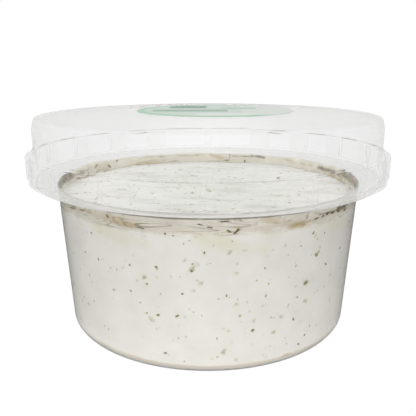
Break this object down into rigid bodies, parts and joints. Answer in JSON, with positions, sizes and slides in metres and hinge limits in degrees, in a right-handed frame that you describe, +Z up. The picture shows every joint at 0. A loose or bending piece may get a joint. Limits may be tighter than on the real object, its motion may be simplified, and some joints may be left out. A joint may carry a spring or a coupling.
{
  "type": "lidded tub of feta dip",
  "caption": "Round see-through plastic tub filled with pale feta dip with herbs, shut by a tall ribbed press-on lid with a round label.",
  "frame": {"origin": "centre of the ring that the tub stands on, in its bottom plane", "axes": "+Z up through the lid; -Y is the side that the picture shows; the label lies a little towards +X"},
  "size_m": [0.1006, 0.1006, 0.0588],
  "materials": {
    "tub_plastic": "clear injection-moulded polypropylene, smooth and glossy",
    "dip": "moist pale cream dip with fine green-brown herb flecks",
    "lid_plastic": "clear injection-moulded polypropylene, slightly milky",
    "label_print": "coated paper label, plain green bands"
  },
  "bodies": {
    "root": {"tub": "tub_plastic", "dip": "dip", "lid": "lid_plastic", "label": "label_print"}
  },
  "joints": []
}
